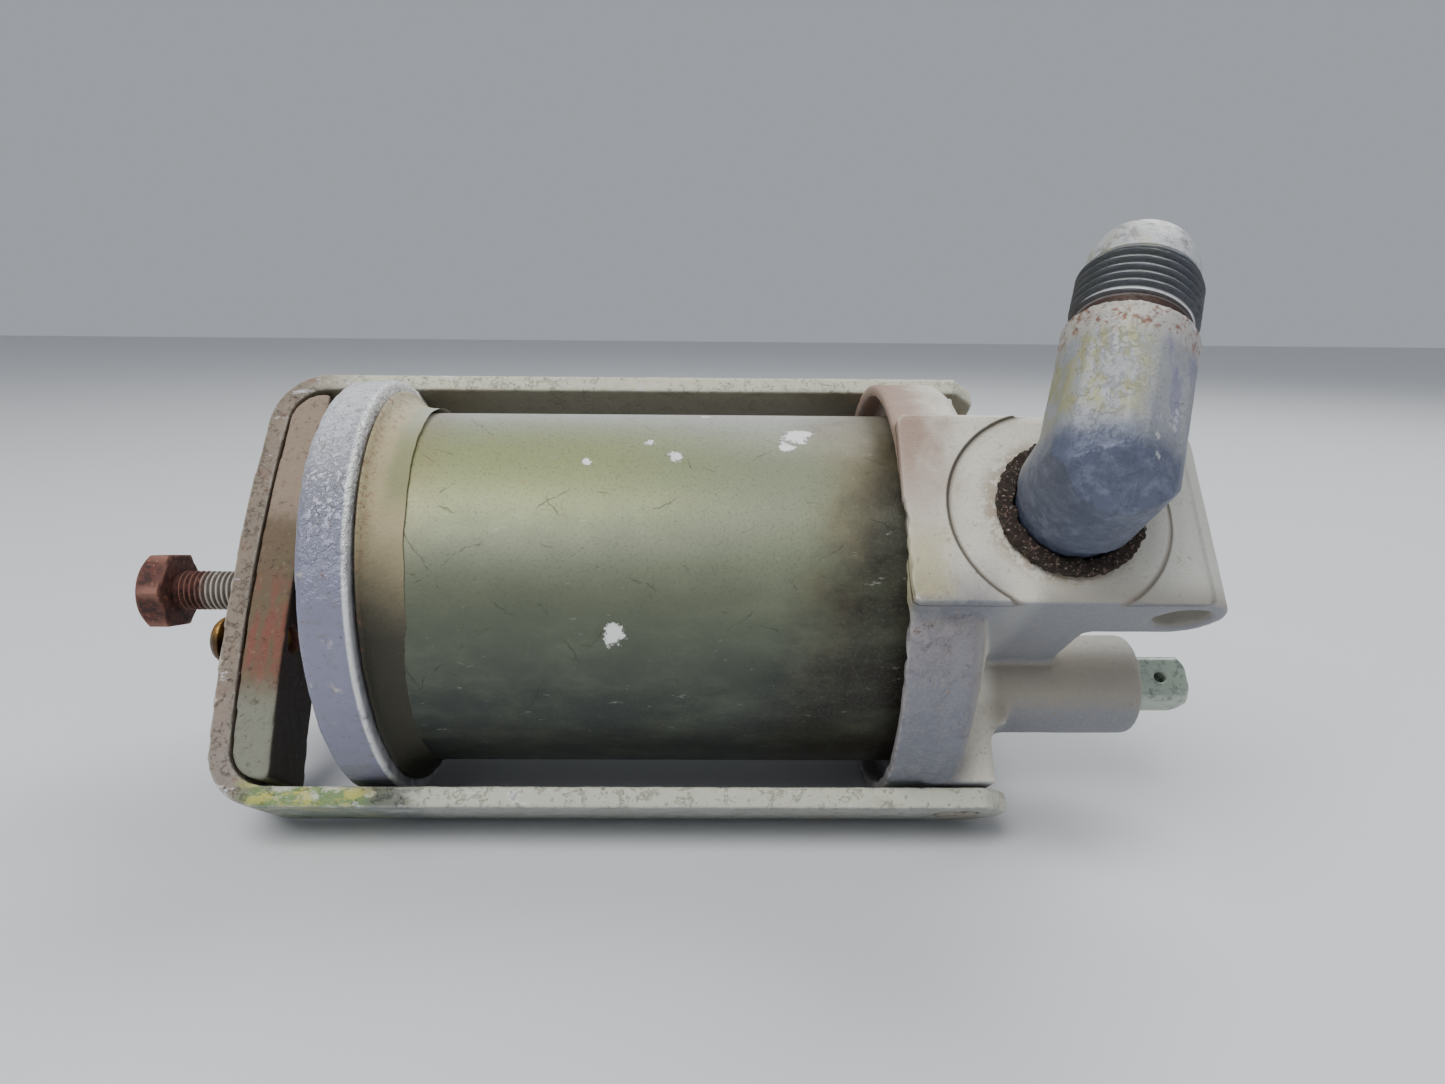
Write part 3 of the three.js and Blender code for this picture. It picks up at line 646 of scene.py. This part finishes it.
def elbow():
    """The forged elbow and, as one sleeve, its groove, thread and nose."""
    up = Vector((math.sin(ELBOW_LEAN), 0, math.cos(ELBOW_LEAN)))
    out = Vector((0, -1, 0))
    side = up.cross(out)
    sleeve_start = 22.9
    core = 6.1
    panel_turns = [math.radians(a) for a in (-86, -29, 29, 86)]
    panel_reach = 9.75

    def shape(place, normal):
        arm = place - ELBOW_CORNER
        along = arm.dot(up)
        radial = arm - along * up
        reach = radial.length
        if along > sleeve_start - 0.4 and reach > core:
            place = ELBOW_CORNER + min(along, 40.5) * up + radial * core / reach
            return place
        if reach > 8 and along > -6:
            turn = math.atan2(radial.dot(side), radial.dot(out))
            limit = min(panel_reach / max(0.2, math.cos(turn - t)) for t in panel_turns)
            fade = min(max((17.5 - along) / 4, 0), 1) * min(max((along + 6) / 4, 0), 1)
            wanted = min(reach, limit)
            place = place - radial / reach * (reach - wanted) * fade
        dent = 0.5 + 0.5 * noise.noise(place / 3.5)
        return place - normal * 0.16 * dent

    settle(remade("inlet_elbow", 0.45, 6, shape), "inlet_elbow", "elbow_forging")
    root = FLARE_RADIUS - 1.05
    start = 24.8
    end = 34.7
    stations = [(sleeve_start - 0.5, ELBOW_PASSAGE + 0.1), (sleeve_start - 0.5, root), (start - 0.4, root)]
    for along in steps(start, end, FLARE_PITCH / 12):
        ease = min(1, (along - start) / 0.9, (end - along) / 0.9)
        stations.append((along, eased_thread(along, ease, root)))
    stations += [(34.9, FLARE_RADIUS - 0.8), (37, FLARE_RADIUS - 0.95), (38.4, FLARE_RADIUS - 1.15)]
    stations += [(40.2, FLARE_RADIUS - 1.9), (41.6, 7.4), (42.2, 6.8), (42.4, 6.2), (42, ELBOW_PASSAGE)]
    stations += [(36, ELBOW_PASSAGE)]
    turn = Matrix((side, out, up)).transposed().to_4x4()
    sleeve = turned(stations, 96, Matrix.Translation(ELBOW_CORNER) @ turn, closed=True)
    settle(sleeve, "inlet_elbow", "elbow_thread", 40)


def eased_thread(along, ease, root):
    full = thread(FLARE_RADIUS, 0.97, FLARE_PITCH, along)
    return lambda angle: root + (full(angle) - root) * ease


def sealant():
    def shape(place, normal):
        rough = noise.noise(place / 1.1) + 0.5 * noise.noise(place / 0.5)
        return place + normal * 0.55 * rough
    settle(remade("elbow_sealant", 0.35, 1, shape), "elbow_sealant")


def bowl():
    low, high = [TO_ROW.inverted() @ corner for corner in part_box("bowl_tube")]
    left, right = low.x, high.x
    radius = BOWL_RADIUS
    inner = radius - BOWL_WALL
    stations = [(left, inner + 0.3), (left, radius - 0.4), (left + 0.4, radius)]
    stations += [(along, radius) for along in steps(left + 3, right - 3, 3)]
    stations += [(right - 0.4, radius), (right, radius - 0.4), (right, inner + 0.3), (right - 0.3, inner)]
    stations += [(along, inner) for along in reversed(steps(left + 0.3, right - 6, 6))]
    settle(turned(stations, 160, ALONG_X, closed=True), "bowl_tube", None, 40)


def cap():
    """The base cap, thickly painted: the paint stands in soft ridges above."""
    def shape(place, normal):
        ridges = noise.noise(Vector((place.x / 2.6, place.y / 2.2, place.z / 3.4)))
        amount = 0.16 + 0.14 * min(max(place.z / 30 + 0.3, 0), 1)
        return place - normal * amount * (0.5 - 0.5 * ridges)
    settle(remade("base_cap", 0.6, 2, shape), "base_cap")


def screw():
    """The clamp screw: a chamfered hexagon, and a right-hand thread down to the pad."""
    box = [TO_ROW.inverted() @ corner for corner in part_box("clamp_screw")]
    left, tip = box[0].x, box[1].x
    head_right = SCREW_HEAD_RIGHT
    flats = SCREW_HEAD_FLATS / 2
    lean = math.radians(-6.6)

    def hexagon(limit):
        def radius(angle):
            within = (angle - lean + math.pi / 6) % (math.pi / 3) - math.pi / 6
            return min(flats / math.cos(within), limit)
        return radius
    stations = [(left, flats - 0.9), (left + 0.25, hexagon(flats - 0.1)), (left + 0.9, hexagon(flats + 0.6))]
    stations += [(left + 1.3, hexagon(flats + 2)), (head_right - 0.4, hexagon(flats + 2))]
    stations += [(head_right, hexagon(flats - 0.1)), (head_right, SCREW_RADIUS - 0.35)]
    for along in steps(head_right + 0.8, tip - 0.6, SCREW_PITCH / 8):
        stations.append((along, thread(SCREW_RADIUS, 0.6, SCREW_PITCH, along)))
    stations += [(tip - 0.3, SCREW_RADIUS - 0.8), (tip, SCREW_RADIUS - 1.3)]
    place = Matrix.Translation((0, 0, SCREW_Z)) @ ALONG_X
    settle(turned(stations, 72, place), "clamp_screw", None, 32)


def cove():
    """The foot ring: a cove of old sealant that runs from its rim down to the bowl's side."""
    reach = 6.4
    rim = 39
    foot = BOWL_RADIUS + 0.3
    start = 0.3
    stations = [(start, foot), (start, rim - 0.4), (start + 0.3, rim)]
    for index in range(15):
        angle = (index + 1) / 15 * math.pi / 2
        along = start + 0.6 + reach * (1 - math.cos(angle))
        stations.append((along, rim - (rim - foot - 0.1) * math.sin(angle)))
    tilted = Matrix.Translation((CAP_X, 0, 0.26)) @ Matrix.Rotation(-CAP_TILT, 4, "Y") @ ALONG_X
    mesh = turned(stations, 160, tilted, closed=True)
    for vertex in mesh.vertices:
        vertex.co.x += 0.25 * noise.noise(vertex.co / 3) * (vertex.co.x > CAP_X + 1.5)
    settle(mesh, "bowl_foot_ring", None, 50)


def small_pieces():
    for node, voxel, depth in (
        ("thread_bar", 0.6, 0.25),
        ("bail_strap", 0.62, 0.14),
        ("bypass_plug", 0.3, 0.03),
        ("thrust_pad", 0.4, 0.12),
        ("bar_rivet", 0.28, 0.05),
        ("upper_pivot_pin", 0.3, 0.06),
        ("lower_pivot_pin", 0.3, 0.06),
    ):
        settle(remade(node, voxel, 2, pitted(depth, 2.5)), node)


def relief_spring():
    """The relief valve's spring, kept on a mesh of its own; the real spring shortens as the poppet lifts."""
    source = frame["nodes"]["bypass_spring"].data.copy()
    source.transform(TO_ROW.inverted())
    piece = settle(source, "bypass_spring", None, 60)
    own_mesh(piece)


def inner_pieces(done):
    """What is hidden inside keeps its solid and gets its finish."""
    for node, obj in frame["nodes"].items():
        if node not in done:
            obj.data.materials.clear()
            obj.data.materials.append(FINISHES[SLOTS[node]])


# ---- stage ----

def camera():
    pitch = math.radians(23.4225)
    yaw = math.radians(0.8341)
    place = Vector((-41.82, -179.27, -67.76))
    ahead = Vector((math.sin(yaw), math.cos(yaw), 0))
    look = ahead * math.cos(pitch) + Vector((0, 0, math.sin(pitch)))
    right = Vector((math.cos(yaw), -math.sin(yaw), 0))
    turn = Matrix((right, right.cross(look), -look)).transposed()
    data = bpy.data.cameras.new("camera")
    data.sensor_width = 36
    data.lens = 927.55 / 1445 * 36
    data.clip_start = 0.01
    seen_from = bpy.data.objects.new("camera", data)
    bpy.context.scene.collection.objects.link(seen_from)
    facing = (LYING.to_3x3() @ turn).to_4x4()
    seen_from.matrix_world = Matrix.Translation(TO_ROW @ place) @ facing
    bpy.context.scene.camera = seen_from


def floor():
    bpy.ops.mesh.primitive_plane_add(size=FLOOR_SIDE)
    plane = bpy.context.object
    f = Finish("floor", "d2d3d4", 0.7)
    f.coat(f.noise(60), "dadbdc", 0.5)
    plane.data.materials.append(f.finish())


def soft_light(place, energy, size):
    data = bpy.data.lights.new("softbox", "AREA")
    data.energy = energy
    data.size = size
    lamp = bpy.data.objects.new("softbox", data)
    bpy.context.scene.collection.objects.link(lamp)
    lamp.location = place
    aim = Vector((0, 0, 0.04)) - Vector(place)
    lamp.rotation_euler = aim.to_track_quat("-Z", "Y").to_euler()


def lights():
    soft_light((-0.35, -0.55, 1.0), 13, 0.7)
    soft_light((0.5, 0.5, 0.9), 7, 0.6)
    world = bpy.data.worlds.new("studio")
    bpy.context.scene.world = world
    world.use_nodes = True
    background = world.node_tree.nodes["Background"]
    background.inputs["Color"].default_value = (0.82, 0.87, 0.95, 1)
    background.inputs["Strength"].default_value = 0.45


head()
elbow()
sealant()
bowl()
cap()
cove()
screw()
small_pieces()
relief_spring()
inner_pieces([o["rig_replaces"][0] for o in bpy.data.objects if o.get("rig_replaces")])
camera()
floor()
lights()
